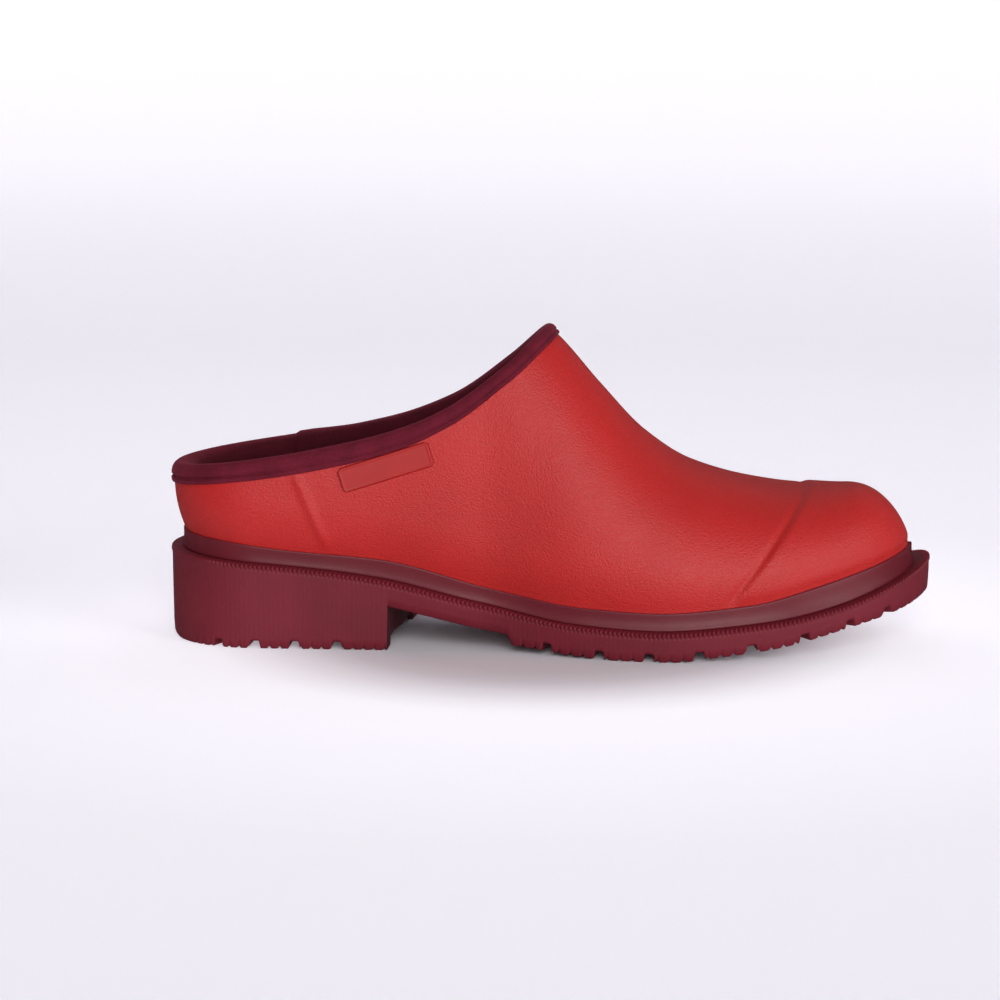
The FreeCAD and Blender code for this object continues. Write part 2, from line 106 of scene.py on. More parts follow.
# ---------------------------------------------------------------- curves along the clog
def through(*points):
    """A smooth function of x that passes through the points and doesn't overshoot between them."""
    xs = [p[0] for p in points]
    ys = [p[1] for p in points]
    slopes = [(ys[i + 1] - ys[i]) / (xs[i + 1] - xs[i]) for i in range(len(xs) - 1)]
    tangents = [slopes[0]]
    for before, after in zip(slopes, slopes[1:]):
        same_way = before * after > 0
        tangents.append(2 * before * after / (before + after) if same_way else 0.0)
    tangents.append(slopes[-1])

    @lru_cache(maxsize=None)
    def value(x):
        if x <= xs[0]:
            return ys[0] + tangents[0] * (x - xs[0])
        if x >= xs[-1]:
            return ys[-1] + tangents[-1] * (x - xs[-1])
        i = max(k for k in range(len(xs) - 1) if xs[k] <= x)
        width = xs[i + 1] - xs[i]
        t = (x - xs[i]) / width
        return (
            (1 + 2 * t) * (1 - t) ** 2 * ys[i]
            + t * (1 - t) ** 2 * width * tangents[i]
            + t * t * (3 - 2 * t) * ys[i + 1]
            + t * t * (t - 1) * width * tangents[i + 1]
        )

    return value


SOLE_BOX = [[value / MM for value in corner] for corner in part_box("outsole")]
HALF = (SOLE_BOX[1][0] - SOLE_BOX[0][0]) / 2
BALL, HEEL, WAIST = 47.65, 34.6, 32.6

# plan of the sole and of the upper: the line midway between the sides, and half the width
sole_mid = through((-140, 1.8), (-100, 1.5), (-60, 0.2), (-25, -1.9), (15, -2.3), (50, 0), (85, 1.7),
                   (140, 5.0))
sole_side = through((-140, HEEL), (-100, HEEL), (-60, HEEL - 1), (-25, WAIST), (15, 41.5), (52, BALL),
                    (85, BALL - 1.6), (115, 41.5), (140, 38))
last_mid = through((-140, 1.8), (-100, 1.5), (-60, 0.2), (-25, -1.9), (15, -2.3), (50, 0), (85, 1.7),
                   (133, 4.6))
last_side = through((-138, HEEL - 2), (-100, HEEL - 1.4), (-60, HEEL - 3.2), (-25, WAIST - 1.6), (15, 38.9),
                    (52, BALL - 3.2), (85, BALL - 4.6), (115, 38), (133, 34.5))
# side view: the rim's top, the line where the upper leaves the foxing, the tread, the waist
ledge_z = through((-140, 33.2), (-90, 29.6), (-60, 25.8), (-25, 18.0), (10, 11.8), (40, 10.4), (75, 13.2),
                  (106, 18.6), (127, 25.5), (140, 31.3))
feather_z = through((-140, 39.6), (-118, 38.0), (-92, 35.0), (-59, 32.0), (-15, 21.4), (12, 17.4), (40, 16.3),
                    (74, 19.4), (96, 24.6), (118, 30.3), (134, 35.4))
front_tread_z = through((-30, 4.6), (-4, 2.4), (14, 0.7), (28, 0), (44, 0), (63, 2.0), (80, 4.4), (107, 10.4),
                        (129, 15.4), (140, 19.4))
waist_z = through((-60, 17.0), (-37, 11.6), (-20, 8.0), (-4, 6.0), (14, 4.2), (28, 3.2), (40, 3.0))
# the upper's ridge and mouth, and how full its arches are
ridge_z = through((-140, 88), (-92, 104), (-40, 120), (-16, 124.5), (2, 112.4), (18.6, 93.8), (35, 76.4),
                  (52, 65.3), (74, 58.8), (90, 56.6), (107, 56.0), (120, 57.2), (134, 57.6))
ridge_shift = through((-140, 0), (-40, 1.0), (20, 3.0), (70, 3.0), (120, 0.5), (134, 0))
fullness = through((-140, 2.6), (-90, 2.6), (-40, 2.3), (0, 2.1), (30, 2.1), (60, 2.25), (90, 2.4),
                   (134, 2.4))
tuck = through((-138, 3.8), (-90, 3.6), (-30, 3.2), (50, 2.6), (100, 2.0), (133, 0.4))
mouth_z = through((-142, 62.6), (-125, 64.6), (-92, 69.4), (-59, 76.6), (-37, 85.2), (-14.6, 101.0),
                  (-3, 111.6), (12, 125.6))

LAST_HEEL, LAST_TOE = -138.6, 132.8
TUCK_HEIGHT, TOE_DROP = 18.0, 24.0
HEEL_LEAN, LEAN_HEIGHT, LEAN_REACH = 7.5, 12, 40    # the heel's lean, the height it grows over, its reach
RIDGE_SHIFT_REACH = 30      # length behind which the ridge's shift fades to the heel
LEDGE_GAP = 0.2             # the last starts this far over the rim's top
HEEL_ROUND, HEEL_POWER = 35.0, 2.15
TOE_ROUND, TOE_POWER = 61.0, 2.2
LINING_DEPTH = 5.3          # depth of the lining's inner face under the skin
SHARE_STEP = 0.004          # step for taking a direction along the surface
END_SHARE = 0.001           # the plan's ends, where the two sides meet in one line


def smooth_step(value, start, end):
    t = min(max((value - start) / (end - start), 0.0), 1.0)
    return t * t * (3 - 2 * t)


def rounding(distance, reach, power):
    """0 at an end of the plan, 1 from reach onwards, along a superellipse."""
    if distance >= reach:
        return 1.0
    return (1 - (1 - max(distance, 0.0) / reach) ** power) ** (1 / power)


def plan_point(share, side, heel_x, toe_x, middle, half_width):
    """A point of a plan outline: share runs from heel to toe, side is -1 outer or +1 inner."""
    x = heel_x + (toe_x - heel_x) * (1 - math.cos(math.pi * share)) / 2
    ends = rounding(x - heel_x, HEEL_ROUND, HEEL_POWER) * rounding(toe_x - x, TOE_ROUND, TOE_POWER)
    return Vector((x, middle(x) + side * half_width(x) * ends, 0))


def plan_normal(share, side, *plan):
    """The outward normal of a plan outline."""
    if share < SHARE_STEP or share > 1 - SHARE_STEP:
        return Vector((-1 if share < 0.5 else 1, 0, 0))
    along = plan_point(share + SHARE_STEP, side, *plan) - plan_point(share - SHARE_STEP, side, *plan)
    return Vector((-along.y * side, along.x * side, 0)).normalized()


def share_at(x, heel_x=LAST_HEEL, toe_x=LAST_TOE):
    """The share of the way from heel to toe at which a plan reaches x."""
    return math.acos(min(max(1 - 2 * (x - heel_x) / (toe_x - heel_x), -1.0), 1.0)) / math.pi


SOLE_PLAN = (-HALF, HALF, sole_mid, sole_side)
LAST_PLAN = (LAST_HEEL, LAST_TOE, last_mid, last_side)


# ---------------------------------------------------------------- the last surface
def arch(x):
    """Low and high end of the arch over x, and its power."""
    low = ledge_z(x) + LEDGE_GAP
    return low, low + (ridge_z(x) - low) * rounding(LAST_TOE - x, TOE_DROP, 2), fullness(x)


def last_point(share, turn):
    """A point of the outer skin. turn runs from 0 at the outer lower edge over the ridge to 1."""
    side = -1 if turn <= 0.5 else 1
    flat = plan_point(share, side, *LAST_PLAN)
    x = flat.x
    low, high, power = arch(x)
    angle = math.pi * (turn if side < 0 else 1 - turn)
    up = math.sin(angle) ** (2 / power)
    out = max(math.cos(angle), 0.0) ** (2 / power)
    z = low + (high - low) * up
    shift = ridge_shift(x) * up * up * rounding(x - LAST_HEEL, RIDGE_SHIFT_REACH, 2)
    y = last_mid(x) + (flat.y - last_mid(x)) * out + shift
    above = min(max((z - feather_z(x)) / TUCK_HEIGHT, 0.0), 1.0)
    lean_from = max(z - feather_z(x) - TUCK_HEIGHT, 0.0) / LEAN_HEIGHT
    leaning = lean_from ** 2 / (1 + lean_from ** 2)
    heel_share = max(1 - (x - LAST_HEEL) / LEAN_REACH, 0.0)
    inward = tuck(x) * (1 - above) ** 2 * out + HEEL_LEAN * leaning * heel_share ** 2
    return Vector((x, y, z)) - plan_normal(share, side, *LAST_PLAN) * inward


def last_layer(share, turn, offset):
    """The same point moved out of the skin by offset, or into it where offset is negative."""
    step = SHARE_STEP
    if share > 1 - END_SHARE:
        return last_point(1, 0) + Vector((offset, 0, 0))
    if share < END_SHARE:
        half_start, half_end = (0, 0.5) if turn <= 0.5 else (0.5001, 1)
        over = last_point(0, min(turn + step, half_end)) - last_point(0, max(turn - step, half_start))
        normal = Vector((-abs(over.z), 0, over.x * (1 if over.z > 0 else -1))).normalized()
        return last_point(0, turn) + normal * offset
    along = last_point(min(share + step, 1), turn) - last_point(max(share - step, 0), turn)
    over = last_point(share, min(turn + step, 1)) - last_point(share, max(turn - step, 0))
    return last_point(share, turn) - over.cross(along).normalized() * offset


def turn_at(x, z):
    """The outer side's turn at which the arch over x reaches height z, at most 0.5."""
    low, high, power = arch(x)
    rise = min(max((z - low) / max(high - low, 0.01), 0.0), 1.0)
    return math.asin(rise ** (power / 2)) / math.pi


def on_side(turn, side):
    return turn if side < 0 else 1 - turn


def mouth_height(x, shift):
    """Height of the mouth's edge moved out by shift, square to itself."""
    slope = mouth_z(x + 0.5) - mouth_z(x - 0.5)
    return mouth_z(x) + shift * math.sqrt(1 + slope * slope)


HALVINGS = 40               # enough to find the mouth's front exactly


@lru_cache(maxsize=None)
def mouth_front(shift):
    """Where the mouth's edge, moved by shift, meets the ridge."""
    behind, ahead = -60.0, 40.0
    for _ in range(HALVINGS):
        middle = (behind + ahead) / 2
        if mouth_height(middle, shift) < ridge_z(middle):
            behind = middle
        else:
            ahead = middle
    return behind


def eased(u, start, end):
    """From start to end, slow at both ends."""
    return start + (end - start) * (1 - math.cos(math.pi * u)) / 2


# ---------------------------------------------------------------- mesh helpers
def mapped_grid(bm, columns, rows, place, flow=None):
    """Adds a grid whose corners go where place(u, w) says, in millimetres, with its UV from flow(u, w)."""
    corners = bmesh.ops.create_grid(bm, x_segments=columns, y_segments=rows, size=0.5)["verts"]
    spots = {corner: (corner.co.x + 0.5, corner.co.y + 0.5) for corner in corners}
    layer = bm.loops.layers.uv.verify() if flow else None
    for corner, (u, w) in spots.items():
        corner.co = place(u, w) * MM
        if flow:
            spot = flow(u, w)
            for loop in corner.link_loops:
                loop[layer].uv = spot


def closed_up(bm, merge=0.00002):
    """Merges doubled corners and turns every face outwards."""
    bmesh.ops.remove_doubles(bm, verts=bm.verts, dist=merge)
    bmesh.ops.dissolve_degenerate(bm, edges=bm.edges, dist=merge / 4)
    bmesh.ops.recalc_face_normals(bm, faces=bm.faces)


def turned_out(bm):
    """Turns an open sheet so that its faces look away from its middle."""
    bmesh.ops.recalc_face_normals(bm, faces=bm.faces)
    middles = [(face.calc_center_median(), face) for face in bm.faces]
    centre = sum((spot for spot, _ in middles), Vector()) / len(middles)
    outwards = sum((spot - centre).dot(face.normal) * face.calc_area() for spot, face in middles)
    if outwards < 0:
        bmesh.ops.reverse_faces(bm, faces=bm.faces)


def piece_from(bm, name, finish, body, replaces=()):
    """Makes the bmesh a finished piece that rides on a body and stands for CAD nodes."""
    mesh = bpy.data.meshes.new(name)
    bm.to_mesh(mesh)
    bm.free()
    mesh.polygons.foreach_set("use_smooth", [True] * len(mesh.polygons))
    mesh.materials.append(finish)
    piece = bpy.data.objects.new(name, mesh)
    bpy.context.scene.collection.objects.link(piece)
    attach(piece, body)
    if replaces:
        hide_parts(*replaces)
    return piece


def thicken(piece, thickness, offset=-1.0):
    wall = piece.modifiers.new("wall", "SOLIDIFY")
    wall.thickness = thickness
    wall.offset = offset


def sizes():
    return bpy.context.scene.clog_sizes


# ---------------------------------------------------------------- finishes
def new_finish(name):
    finish = bpy.data.materials.new(name)
    finish.use_nodes = True
    tree = finish.node_tree
    return finish, tree, tree.nodes["Principled BSDF"]


def add_node(tree, kind, settings=None, values=None, links=None):
    """Adds a shader node, sets its settings and socket values, and links its inputs."""
    node = tree.nodes.new(kind)
    for key, value in (settings or {}).items():
        setattr(node, key, value)
    for key, value in (values or {}).items():
        node.inputs[key].default_value = value
    for key, source in (links or {}).items():
        tree.links.new(source, node.inputs[key])
    return node


def shaded(colour, factor):
    return [channel * factor for channel in colour] + [1.0]


def grey(level):
    return [level] * 3 + [1]


def place_of(tree):
    return add_node(tree, "ShaderNodeTexCoord").outputs["Object"]


def noise_of(tree, place, size_mm, detail=2.0, roughness=0.5, distortion=0.0):
    """Noise whose blotches are about that size."""
    values = {"Scale": 1000 / size_mm, "Detail": detail, "Roughness": roughness, "Distortion": distortion}
    return add_node(tree, "ShaderNodeTexNoise", None, values, {"Vector": place}).outputs["Fac"]


def ramp_of(tree, source, stops):
    node = add_node(tree, "ShaderNodeValToRGB", None, None, {"Fac": source})
    ramp = node.color_ramp
    ramp.elements[0].position, ramp.elements[0].color = stops[0]
    ramp.elements[1].position, ramp.elements[1].color = stops[-1]
    for position, colour in stops[1:-1]:
        ramp.elements.new(position).color = colour
    return node.outputs["Color"]


def range_of(tree, source, low, high):
    values = {"To Min": low, "To Max": high}
    return add_node(tree, "ShaderNodeMapRange", None, values, {"Value": source}).outputs["Result"]


def bump_of(tree, height, depth_mm, strength=1.0, under=None):
    links = {"Height": height}
    if under:
        links["Normal"] = under
    node = add_node(tree, "ShaderNodeBump", None, {"Strength": strength, "Distance": depth_mm * MM}, links)
    return node.outputs["Normal"]


HALF_WAVE = 0.31831 / 2     # scale at which the Wave texture repeats about every two metres


def bands_at(pitch_mm):
    """The Wave texture's scale for bands about twice that pitch apart: real ones are too fine to show."""
    return 1000 / pitch_mm * HALF_WAVE


def grain_of(tree, place, pitch_mm):
    """Pebbles: rounded cells with narrow valleys, each a little off its neighbours' size."""
    warp = add_node(tree, "ShaderNodeTexNoise", None, {"Scale": 1000 / (pitch_mm * 1.6), "Detail": 1.0},
                    {"Vector": place}).outputs["Color"]
    sway = add_node(tree, "ShaderNodeVectorMath", {"operation": "SCALE"}, {"Scale": pitch_mm * MM * 0.9},
                    {0: warp}).outputs["Vector"]
    spot = add_node(tree, "ShaderNodeVectorMath", {"operation": "ADD"}, None,
                    {0: place, 1: sway}).outputs["Vector"]
    cells = add_node(tree, "ShaderNodeTexVoronoi", {"feature": "SMOOTH_F1"},
                     {"Scale": 1000 / pitch_mm, "Smoothness": 0.6, "Randomness": 0.95}, {"Vector": spot})
    return range_of(tree, cells.outputs["Distance"], 1.0, 0.0)


def pebbled_rubber():
    """Natural rubber pressed over a last in a grained mould: matte, with a broad soft highlight broken up
    by pebbles under a millimetre wide, and faint clouds of colour where the mould was hotter."""
    finish, tree, shader = new_finish("pebble_moulded_natural_rubber")
    base = bpy.context.scene.clog_colours.upper
    place = place_of(tree)
    pebbles = grain_of(tree, place, 0.6)
    clouds = noise_of(tree, place, 38, 3.0)
    tint = ramp_of(tree, clouds, [(0.3, shaded(base, 0.93)), (0.7, shaded(base, 1.05))])
    # painted shade: the valleys between the pebbles drawn up to a tenth darker
    valley_shade = ramp_of(tree, pebbles, [(0.25, (0.9, 0.87, 0.87, 1)), (0.6, (1, 1, 1, 1))])
    mixed = add_node(tree, "ShaderNodeMix", {"data_type": "RGBA", "blend_type": "MULTIPLY"}, {"Factor": 0.75},
                     {6: tint, 7: valley_shade}).outputs[2]
    tree.links.new(mixed, shader.inputs["Base Color"])
    shine = noise_of(tree, place, 6, 3.0)
    tree.links.new(range_of(tree, shine, 0.44, 0.54), shader.inputs["Roughness"])
    swell = bump_of(tree, noise_of(tree, place, 9, 2.0), 0.12, 0.5)
    tree.links.new(bump_of(tree, pebbles, 0.16, 1.0, swell), shader.inputs["Normal"])
    shader.inputs["IOR"].default_value = 1.52
    shader.inputs["Specular IOR Level"].default_value = 0.4
    return finish


def smooth_rubber(name, base, roughness=(0.42, 0.55), ribs_mm=None):
    """Moulded or calendered sole rubber: satin and even, with specks of bloom and, where it is ribbed, fine
    upright tool marks left by the mould."""
    finish, tree, shader = new_finish(name)
    place = place_of(tree)
    clouds = noise_of(tree, place, 24, 4.0)
    tint = ramp_of(tree, clouds, [(0.3, shaded(base, 0.9)), (0.7, shaded(base, 1.08))])
    specks = noise_of(tree, place, 1.1, 5.0, 0.7)
    bloom = ramp_of(tree, specks, [(0.62, (0, 0, 0, 1)), (0.8, (0.06, 0.04, 0.04, 1))])
    mixed = add_node(tree, "ShaderNodeMix", {"data_type": "RGBA", "blend_type": "ADD"}, {"Factor": 0.35},
                     {6: tint, 7: bloom}).outputs[2]
    tree.links.new(mixed, shader.inputs["Base Color"])
    tree.links.new(range_of(tree, noise_of(tree, place, 5, 3.0), *roughness), shader.inputs["Roughness"])
    normal = bump_of(tree, noise_of(tree, place, 0.7, 3.0), 0.05, 0.5)
    if ribs_mm:
        flow = add_node(tree, "ShaderNodeTexCoord").outputs["UV"]
        ribs = add_node(tree, "ShaderNodeTexWave", {"wave_type": "BANDS", "bands_direction": "X"},
                        {"Scale": bands_at(ribs_mm), "Distortion": 0.4, "Detail": 2.0, "Detail Scale": 0.4},
                        {"Vector": flow})
        normal = bump_of(tree, ribs.outputs["Fac"], 0.05, 0.4, normal)
    tree.links.new(normal, shader.inputs["Normal"])
    shader.inputs["IOR"].default_value = 1.52
    shader.inputs["Specular IOR Level"].default_value = 0.28
    return finish


def painted_inner_shade(tree, flow, wide, tint):
    """Painted shade: darkens the inner turn of a folded tape, the part inside the mouth; wide is its width in
    its UV.
    """
    across = add_node(tree, "ShaderNodeSeparateXYZ", None, None, {"Vector": flow}).outputs["Y"]
    part = add_node(tree, "ShaderNodeMath", {"operation": "DIVIDE"}, {1: wide}, {0: across}).outputs["Value"]
    # painted shade: the tape's inner side drawn darker
    inner_shade_ramp = ramp_of(tree, part, [
        (0.4, (1, 1, 1, 1)), (0.52, (0.5, 0.45, 0.45, 1)), (0.9, (0.42, 0.38, 0.38, 1)),
    ])
    return add_node(tree, "ShaderNodeMix", {"data_type": "RGBA", "blend_type": "MULTIPLY"}, {"Factor": 1.0},
                    {6: tint, 7: inner_shade_ramp}).outputs[2]


def knit_cloth(name, base, wale_mm=0.9, fuzz=0.35, inner_shade_width=None):
    """Knitted tape or lining: columns of small loops with a nap that catches light at a grazing angle."""
    finish, tree, shader = new_finish(name)
    flow = add_node(tree, "ShaderNodeTexCoord").outputs["UV"]
    place = place_of(tree)
    wales = add_node(tree, "ShaderNodeTexWave", {"wave_type": "BANDS", "bands_direction": "X"},
                     {"Scale": bands_at(wale_mm), "Distortion": 1.2, "Detail": 1.0}, {"Vector": flow})
    courses = add_node(tree, "ShaderNodeTexWave", {"wave_type": "BANDS", "bands_direction": "Y"},
                       {"Scale": bands_at(wale_mm * 0.8), "Distortion": 1.2, "Detail": 1.0},
                       {"Vector": flow})
    loops = add_node(tree, "ShaderNodeMath", {"operation": "MULTIPLY"}, None,
                     {0: wales.outputs["Fac"], 1: courses.outputs["Fac"]}).outputs["Value"]
    nap = noise_of(tree, place, 0.55, 4.0, 0.7)
    patches = noise_of(tree, place, 7, 3.0)
    tint = ramp_of(tree, patches, [(0.3, shaded(base, 0.82)), (0.7, shaded(base, 1.15))])
    fibres = ramp_of(tree, nap, [(0.3, (0.6, 0.6, 0.6, 1)), (0.75, (1.15, 1.12, 1.12, 1))])
    mixed = add_node(tree, "ShaderNodeMix", {"data_type": "RGBA", "blend_type": "MULTIPLY"}, {"Factor": 0.8},
                     {6: tint, 7: fibres}).outputs[2]
    # painted shade on the tape's inner turn
    if inner_shade_width:
        mixed = painted_inner_shade(tree, flow, inner_shade_width, mixed)
    tree.links.new(mixed, shader.inputs["Base Color"])
    normal = bump_of(tree, loops, 0.14, 0.6)
    tree.links.new(bump_of(tree, nap, 0.15, 0.6, normal), shader.inputs["Normal"])
    shader.inputs["Roughness"].default_value = 0.9
    shader.inputs["Sheen Weight"].default_value = fuzz
    shader.inputs["Sheen Roughness"].default_value = 0.5
    shader.inputs["Sheen Tint"].default_value = shaded([min(c * 3, 1) for c in base], 1)
    shader.inputs["Specular IOR Level"].default_value = 0.15
    return finish


def plain_stuff(name, base, roughness, grain_mm, depth_mm, metallic=0.0, spread=0.12):
    """The hidden pieces' stock: fibre board, cork, foam, plastic and steel, each with its own grain."""
    finish, tree, shader = new_finish(name)
    place = place_of(tree)
    grain = noise_of(tree, place, grain_mm, 4.0, 0.6)
    base = linear(base)
    tint = ramp_of(tree, grain, [(0.35, shaded(base, 1 - spread)), (0.65, shaded(base, 1 + spread))])
    tree.links.new(tint, shader.inputs["Base Color"])
    tree.links.new(bump_of(tree, grain, depth_mm, 0.6), shader.inputs["Normal"])
    shader.inputs["Roughness"].default_value = roughness
    shader.inputs["Metallic"].default_value = metallic
    return finish


# ---------------------------------------------------------------- the upper
SPLIT = 0.5                 # share of a sheet's columns that lie behind the mouth's front
ALMOST = 1e-6
SHEET_MERGE = 0.00003       # metres within which the two sides' corners are one
SHEET_LONG, SHEET_TALL = 0.33, 0.11     # metres along and up a sheet, for its pattern


def upper_spot(u, w, side, low, shift, offset_at):
    """A point of a sheet of the upper: u from heel to toe, w from its foot to the mouth or the ridge."""
    front = mouth_front(shift)
    if u < SPLIT:
        x = eased(u / SPLIT, LAST_HEEL, front)
    else:
        x = eased((u - SPLIT) / (1 - SPLIT), front, LAST_TOE)
    top = turn_at(x, mouth_height(x, shift)) if u < SPLIT - ALMOST else 0.5
    start = turn_at(x, ledge_z(x) + low)
    turn = on_side(start + (top - start) * w, side)
    share = share_at(x)
    return last_layer(share, turn, offset_at(last_point(share, turn)))


def sheet_flow(side):
    """UV in metres: along the clog, and up it, with the two sides apart."""
    return lambda u, w: (u * SHEET_LONG * side, w * SHEET_TALL)


# edges of the stiffeners as slanting lines in side view, and how they show through the skin
PUFF_TOP, PUFF_LOW = (94.0, 57.0), (66.0, 20.5)
COUNTER_TOP, COUNTER_LOW = (-90.0, 64.0), (-78.5, 36.5)
CREASE_MIDDLE, CREASE_BEHIND, CREASE_AHEAD = -0.2, 0.9, 1.3
CREASE_ON_TOP = 0.75        # how much weaker the crease is on top of the toe
TOE_RISE = (-0.4, 2.6)      # where the step starts and ends, ahead of the puff's edge
FLANK_TOP = (47, 56)        # heights between which the flank turns into the toe's top
FOXING_CLEAR = (0.6, 4.5)   # heights over the foxing between which the toe's relief fades in
TAPE_COVER = (5.0, 10.0)    # depths below the mouth between which the ridge fades in
RIDGE_WIDTH, RIDGE_FOOT = 1.5, (34, 42)


def past_line(spot, top, low):
    """How far a point lies ahead of a slanting line in side view."""
    run, rise = top[0] - low[0], top[1] - low[1]
    return ((spot.x - low[0]) * rise - (spot.z - low[1]) * run) / math.hypot(run, rise)


def skin_relief(spot):
    """What the stiffeners do to the skin over them."""
    step, ridge = sizes().toe_step / MM, sizes().counter_ridge / MM
    ahead = past_line(spot, PUFF_TOP, PUFF_LOW)
    on_flank = 1 - CREASE_ON_TOP * smooth_step(spot.z, *FLANK_TOP)
    width = CREASE_BEHIND if ahead < CREASE_MIDDLE else CREASE_AHEAD
    valley = math.exp(-((ahead - CREASE_MIDDLE) / width) ** 2)
    clear = smooth_step(spot.z - feather_z(spot.x), *FOXING_CLEAR)
    toe = clear * step * (smooth_step(ahead, *TOE_RISE) - 0.95 * on_flank * valley)
    behind = past_line(spot, COUNTER_TOP, COUNTER_LOW)
    under_tape = smooth_step(mouth_z(spot.x) - spot.z, *TAPE_COVER)
    heel = ridge * math.exp(-(behind / RIDGE_WIDTH) ** 2) * smooth_step(spot.z, *RIDGE_FOOT) * under_tape
    return toe + heel


SKIN_COLUMNS, SKIN_ROWS, SKIN_FOOT = 400, 54, 1.0               # its foot's height over the rim's top
LINING_COLUMNS, LINING_ROWS, LINING_FOOT, LINING_EDGE = 150, 36, 3.2, -0.6
LINING_WAVE, WAVE_LONG = 0.35, 14                               # height and length of the cloth's unevenness


def build_upper():
    bm = bmesh.new()
    for side in (-1, 1):
        mapped_grid(bm, SKIN_COLUMNS, SKIN_ROWS,
                    lambda u, w: upper_spot(u, w, side, SKIN_FOOT, 0.0, skin_relief), sheet_flow(side))
    bmesh.ops.remove_doubles(bm, verts=bm.verts, dist=SHEET_MERGE)
    bmesh.ops.dissolve_degenerate(bm, edges=bm.edges, dist=0.000005)
    turned_out(bm)
    piece = piece_from(bm, "rubber_upper", pebbled_rubber(), "clog", ["upper_shell"])
    thicken(piece, sizes().skin)


def lining_relief(spot):
    """The lining's inner face, with the slight unevenness of cloth over a curve."""
    return -LINING_DEPTH + LINING_WAVE * noise.noise(spot / WAVE_LONG)


def build_lining():
    bm = bmesh.new()
    for side in (-1, 1):
        mapped_grid(bm, LINING_COLUMNS, LINING_ROWS,
                    lambda u, w: upper_spot(u, w, side, LINING_FOOT, LINING_EDGE, lining_relief),
                    sheet_flow(side))
    bmesh.ops.remove_doubles(bm, verts=bm.verts, dist=SHEET_MERGE)
    turned_out(bm)
    finish = knit_cloth("brushed_knit_lining", bpy.context.scene.clog_colours.lining, 1.1, 0.08)
    piece = piece_from(bm, "knit_lining", finish, "clog", ["lining"])
    thicken(piece, 1.0 * MM, 1.0)


# ---------------------------------------------------------------- the binding
# section of the folded tape: (distance out of the mouth's edge, height over the skin), outer foot first
TAPE_SECTION = [
    (-7.0, 0.10), (-7.15, 0.45), (-7.0, 0.95), (-6.3, 1.2), (-5.5, 1.28), (-5.0, 1.15), (-4.7, 0.95),
    (-4.4, 1.1), (-3.9, 1.45), (-2.8, 1.68), (-1.4, 1.7), (-0.2, 1.45), (0.7, 0.9), (1.25, 0.05),
    (1.5, -1.0), (1.58, -2.4), (1.5, -3.9), (1.2, -5.1), (0.6, -6.0), (-0.3, -6.6), (-1.6, -6.95),
    (-3.2, -7.0), (-5.0, -6.9), (-6.6, -6.75), (-7.5, -6.4), (-7.6, -5.9), (-7.2, -5.5), (-4.0, -5.42),
    (-0.6, -5.35), (0.1, -4.8), (0.15, -2.6), (0.1, -0.4), (-0.5, 0.06), (-4.0, 0.08),
]
TAPE_WIDTH = 0.034          # metres round the section, for the weave
DITCH = (5, 6, 7)           # the section's points where the fold is caught down, as a sunk line
DITCH_DEPTH = 0.6
HEEL_SHARE, SHARE_LOST = 0.84, 0.24     # the tape's width at the heel, and how much less of it at the front
LAP_BACK, LAP_FRONT = -97.0, -72.0
LAP_OUT, LAP_OVER = 0.75, 0.9           # how far the lapped end stands out and over
TAPE_WAVE = 0.16            # unevenness of the tape's edge


def tape_spot(u, w, side):
    """A point of the binding: u from the back of the heel to the mouth's front, w round the section."""
    k = round(w * len(TAPE_SECTION)) % len(TAPE_SECTION)
    shift, offset = TAPE_SECTION[k]
    x = eased(u, LAST_HEEL, mouth_front(shift))
    if shift < 0:
        shift *= HEEL_SHARE - SHARE_LOST * smooth_step(x, -70, -12)
    if k in DITCH:
        offset -= DITCH_DEPTH * (1 - smooth_step(x, -112, -84))
    if side > 0:
        lap = smooth_step(x, LAP_BACK - 0.8, LAP_BACK + 0.8) * (1 - smooth_step(x, LAP_BACK + 4, LAP_FRONT))
        shift += LAP_OUT * lap * (shift > 0)
        offset += LAP_OVER * lap * (1 if offset > 0.3 else -1 if offset < -5.6 else 0)
    along = Vector((x / 17, shift / 9, 3.7 * side + offset / 5))
    shift += TAPE_WAVE * noise.noise(along) * (shift > -6.5)
    x = min(x, mouth_front(round(shift, 2)))
    turn = 0.5 if u > 1 - ALMOST else turn_at(x, mouth_height(x, shift))
    return last_layer(share_at(x), on_side(turn, side), offset)


def build_binding():
    count = len(TAPE_SECTION)
    bm = bmesh.new()
    for side in (-1, 1):
        mapped_grid(bm, 300, count, lambda u, w: tape_spot(u, w, side),
                    lambda u, w: (u * 0.19 * side, w * TAPE_WIDTH))
    closed_up(bm)
    finish = knit_cloth("folded_knit_binding", bpy.context.scene.clog_colours.binding, 0.8, 0.3, TAPE_WIDTH)
    piece_from(bm, "mouth_binding", finish, "clog", ["topline_binding"])


# ---------------------------------------------------------------- foxing and label
# section of the foxing strip: (share of its height, height over the skin, does it flare)
FOXING_SECTION = [
    (0.0, 0.02, 0), (0.0, 0.75, 1), (0.07, 0.78, 1), (0.17, 0.75, 0.7), (0.32, 0.7, 0.4), (0.5, 0.68, 0.2),
    (0.72, 0.7, 0.06), (0.9, 0.78, 0.0), (0.97, 0.7, 0.0), (1.0, 0.45, 0.0), (1.0, 0.02, 0.0),
]
FLARE_BACK, FLARE_ADDED = 0.35, 0.7     # the flare at the heel, and how much more of it at the ball
FOXING_FOOT, FOXING_LAP = 0.05, 0.35    # its foot over the rim's top, its edge over the feather line


def foxing_spot(u, w, side):
    """A point of the foxing strip, which lies on the ledge and flares over it."""
    share_up, offset, flares = FOXING_SECTION[round(w * len(FOXING_SECTION)) % len(FOXING_SECTION)]
    x = eased(u, LAST_HEEL, LAST_TOE)
    flare = FLARE_BACK + FLARE_ADDED * smooth_step(x, -60, 40)
    low, high = ledge_z(x) + FOXING_FOOT, feather_z(x) + FOXING_LAP
    z = low + (high - low) * share_up
    spot = last_layer(u, on_side(turn_at(x, z), side), offset + flare * flares)
    spot.z = z
    return spot


